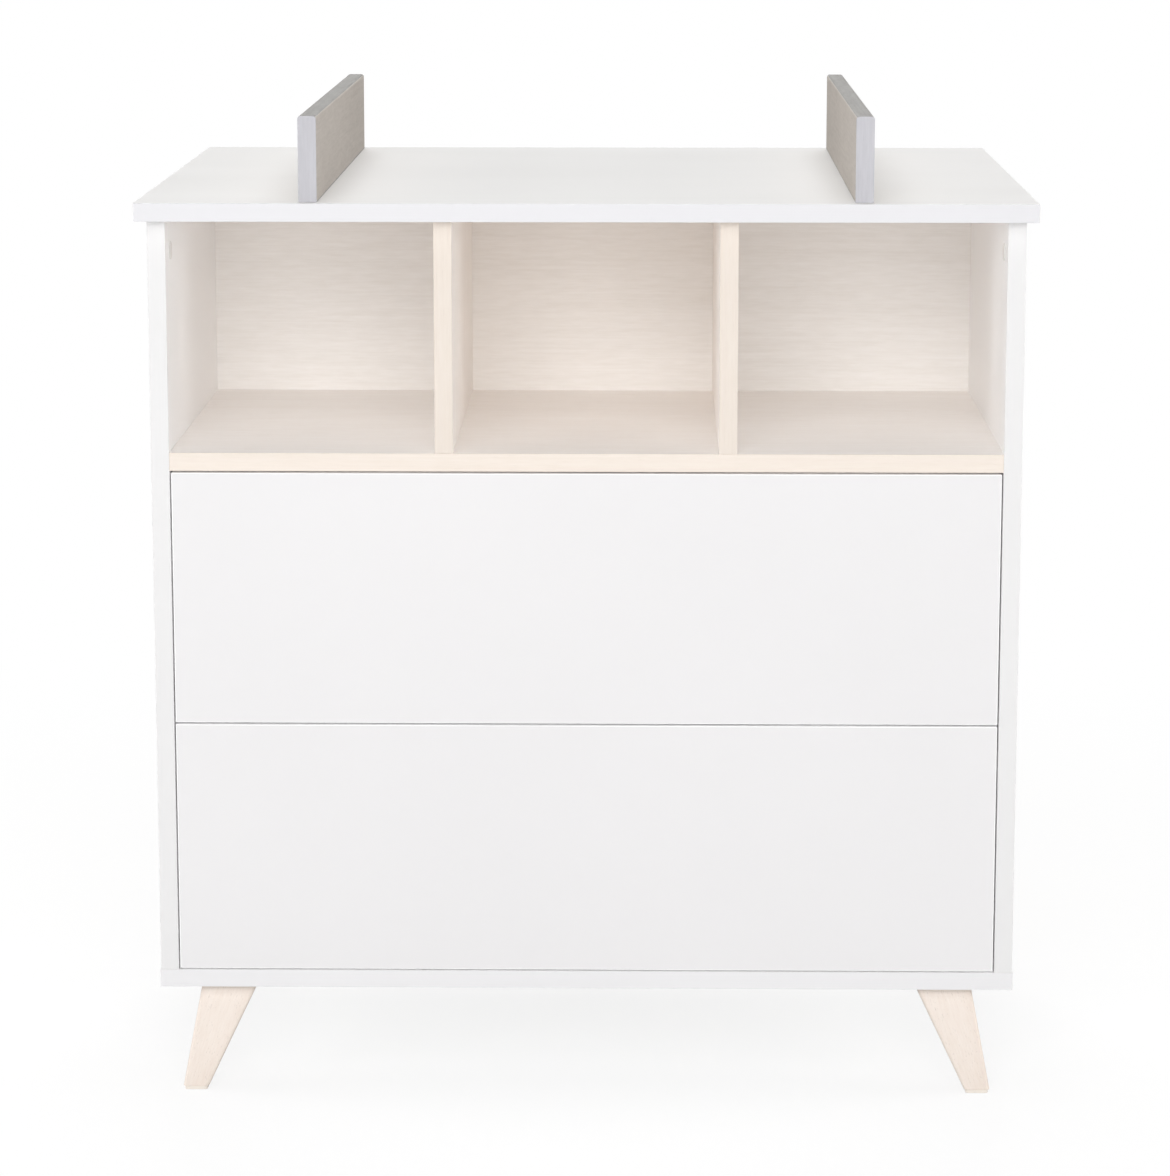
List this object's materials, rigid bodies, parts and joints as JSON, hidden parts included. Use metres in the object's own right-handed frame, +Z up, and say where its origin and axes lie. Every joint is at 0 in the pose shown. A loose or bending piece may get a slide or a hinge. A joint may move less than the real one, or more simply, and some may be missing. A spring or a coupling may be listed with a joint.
{
  "type": "changing dresser",
  "caption": "Changing dresser: deep worktop with mat rails, open niches, wide push-to-open drawers and splayed wooden legs.",
  "frame": {"origin": "on the floor, under the middle of the worktop", "axes": "+X to the right as seen from the front, +Y from the drawer fronts to the wall, +Z up"},
  "size_m": [0.884, 0.7, 0.991],
  "materials": {
    "white_melamine": "satin white melamine on chipboard",
    "oak_decor": "matt pale oak decor on chipboard",
    "grey_decor": "matt grey wood decor on chipboard",
    "leg_wood": "matt pale beech",
    "white_hardboard": "matt white-faced hardboard",
    "oak_back": "matt pale oak decor on hardboard",
    "drawer_board": "satin white drawer board",
    "slide_steel": "zinc-plated steel",
    "cage_steel": "zinc-plated cage with steel balls",
    "latch_plastic": "grey moulded plastic",
    "plunger_plastic": "white moulded plastic",
    "fastener_steel": "zinc-plated steel",
    "cam_zinc": "zinc die casting",
    "dowel_wood": "unfinished beech",
    "bracket_steel": "white powder coat",
    "glide_plastic": "pale nylon"
  },
  "bodies": {
    "carcass": {"worktop": "white_melamine", "side_panel_left": "white_melamine", "side_panel_right": "white_melamine", "bottom_panel": "white_melamine", "niche_shelf": "oak_decor", "niche_divider_left": "oak_decor", "niche_divider_right": "oak_decor", "niche_back_panel": "oak_back", "drawer_bay_back_panel": "white_hardboard", "changing_rail_left": "grey_decor", "changing_rail_right": "grey_decor", "changing_rail_bolts": "fastener_steel", "threaded_inserts": "cam_zinc", "leg_front_left": "leg_wood", "leg_front_right": "leg_wood", "leg_rear_left": "leg_wood", "leg_rear_right": "leg_wood", "leg_bolts": "fastener_steel", "foot_glides": "glide_plastic", "wall_brackets": "bracket_steel", "cam_locks": "cam_zinc", "cam_bolts": "fastener_steel", "dowels": "dowel_wood", "base_screws": "fastener_steel", "carcass_screws": "fastener_steel", "cabinet_rail_upper_left": "slide_steel", "cabinet_rail_upper_right": "slide_steel", "upper_latch_housings": "latch_plastic", "cabinet_rail_lower_left": "slide_steel", "cabinet_rail_lower_right": "slide_steel", "lower_latch_housings": "latch_plastic"},
    "upper_latch_plungers": {"upper_latch_plungers": "plunger_plastic"},
    "upper_drawer": {"drawer_rail_upper_left": "slide_steel", "upper_drawer_side_left": "drawer_board", "drawer_rail_upper_right": "slide_steel", "upper_drawer_side_right": "drawer_board", "upper_drawer_front": "white_melamine", "upper_drawer_back": "drawer_board", "upper_drawer_bottom": "white_hardboard", "upper_drawer_strikes": "fastener_steel", "upper_drawer_fixings": "cam_zinc"},
    "upper_intermediate_rails": {"intermediate_rail_upper_left": "slide_steel", "intermediate_rail_upper_right": "slide_steel"},
    "upper_outer_ball_cages": {"upper_outer_ball_cages": "cage_steel"},
    "upper_inner_ball_cages": {"upper_inner_ball_cages": "cage_steel"},
    "lower_latch_plungers": {"lower_latch_plungers": "plunger_plastic"},
    "lower_drawer": {"drawer_rail_lower_left": "slide_steel", "lower_drawer_side_left": "drawer_board", "drawer_rail_lower_right": "slide_steel", "lower_drawer_side_right": "drawer_board", "lower_drawer_front": "white_melamine", "lower_drawer_back": "drawer_board", "lower_drawer_bottom": "white_hardboard", "lower_drawer_strikes": "fastener_steel", "lower_drawer_fixings": "cam_zinc"},
    "lower_intermediate_rails": {"intermediate_rail_lower_left": "slide_steel", "intermediate_rail_lower_right": "slide_steel"},
    "lower_outer_ball_cages": {"lower_outer_ball_cages": "cage_steel"},
    "lower_inner_ball_cages": {"lower_inner_ball_cages": "cage_steel"}
  },
  "joints": [
    {"name": "upper_latch_press", "type": "slide", "parent": "carcass", "child": "upper_latch_plungers", "axis": [0, -1, 0], "range_m": [-0.003, 0.014]},
    {"name": "upper_drawer_slide", "type": "slide", "parent": "upper_latch_plungers", "child": "upper_drawer", "axis": [0, -1, 0], "range_m": [0, 0.33]},
    {"name": "upper_intermediate_rails_slide", "type": "slide", "parent": "carcass", "child": "upper_intermediate_rails", "axis": [0, -1, 0], "range_m": [0, 0.165]},
    {"name": "upper_outer_ball_cages_slide", "type": "slide", "parent": "carcass", "child": "upper_outer_ball_cages", "axis": [0, -1, 0], "range_m": [0, 0.0825]},
    {"name": "upper_inner_ball_cages_slide", "type": "slide", "parent": "carcass", "child": "upper_inner_ball_cages", "axis": [0, -1, 0], "range_m": [0, 0.2475]},
    {"name": "lower_latch_press", "type": "slide", "parent": "carcass", "child": "lower_latch_plungers", "axis": [0, -1, 0], "range_m": [-0.003, 0.014]},
    {"name": "lower_drawer_slide", "type": "slide", "parent": "lower_latch_plungers", "child": "lower_drawer", "axis": [0, -1, 0], "range_m": [0, 0.33]},
    {"name": "lower_intermediate_rails_slide", "type": "slide", "parent": "carcass", "child": "lower_intermediate_rails", "axis": [0, -1, 0], "range_m": [0, 0.165]},
    {"name": "lower_outer_ball_cages_slide", "type": "slide", "parent": "carcass", "child": "lower_outer_ball_cages", "axis": [0, -1, 0], "range_m": [0, 0.0825]},
    {"name": "lower_inner_ball_cages_slide", "type": "slide", "parent": "carcass", "child": "lower_inner_ball_cages", "axis": [0, -1, 0], "range_m": [0, 0.2475]}
  ],
  "couplings": [
    {"joint": "upper_intermediate_rails_slide", "follows": "upper_drawer_slide", "ratio": 0.5},
    {"joint": "upper_outer_ball_cages_slide", "follows": "upper_drawer_slide", "ratio": 0.25},
    {"joint": "upper_inner_ball_cages_slide", "follows": "upper_drawer_slide", "ratio": 0.75},
    {"joint": "lower_intermediate_rails_slide", "follows": "lower_drawer_slide", "ratio": 0.5},
    {"joint": "lower_outer_ball_cages_slide", "follows": "lower_drawer_slide", "ratio": 0.25},
    {"joint": "lower_inner_ball_cages_slide", "follows": "lower_drawer_slide", "ratio": 0.75}
  ]
}
